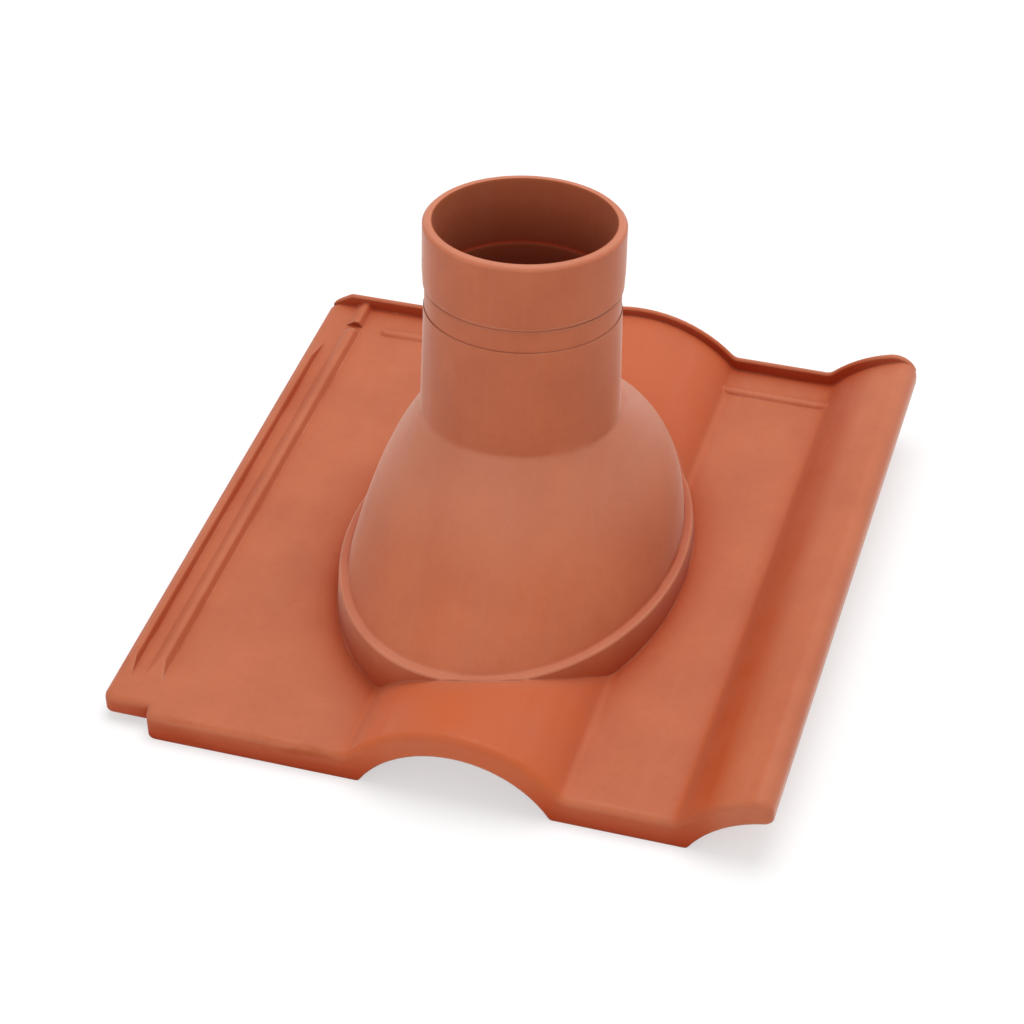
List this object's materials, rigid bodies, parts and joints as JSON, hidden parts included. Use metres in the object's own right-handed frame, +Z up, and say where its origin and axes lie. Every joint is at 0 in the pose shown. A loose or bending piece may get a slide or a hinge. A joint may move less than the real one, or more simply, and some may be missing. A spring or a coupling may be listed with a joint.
{
  "type": "roof tile vent",
  "caption": "Double-roll clay roof tile with an oval dome that rises to a round vent pipe with a collar and an open socket.",
  "frame": {"origin": "centre of the tile's outline in plan, at the height of the undersides of its two nibs", "axes": "+Z up off the pans, +Y from the tail edge to the head edge, +X from the side lock to the right edge"},
  "size_m": [0.3874, 0.401, 0.2592],
  "materials": {
    "clay": "matte"
  },
  "bodies": {
    "root": {"vent_tile": "clay"}
  },
  "joints": []
}
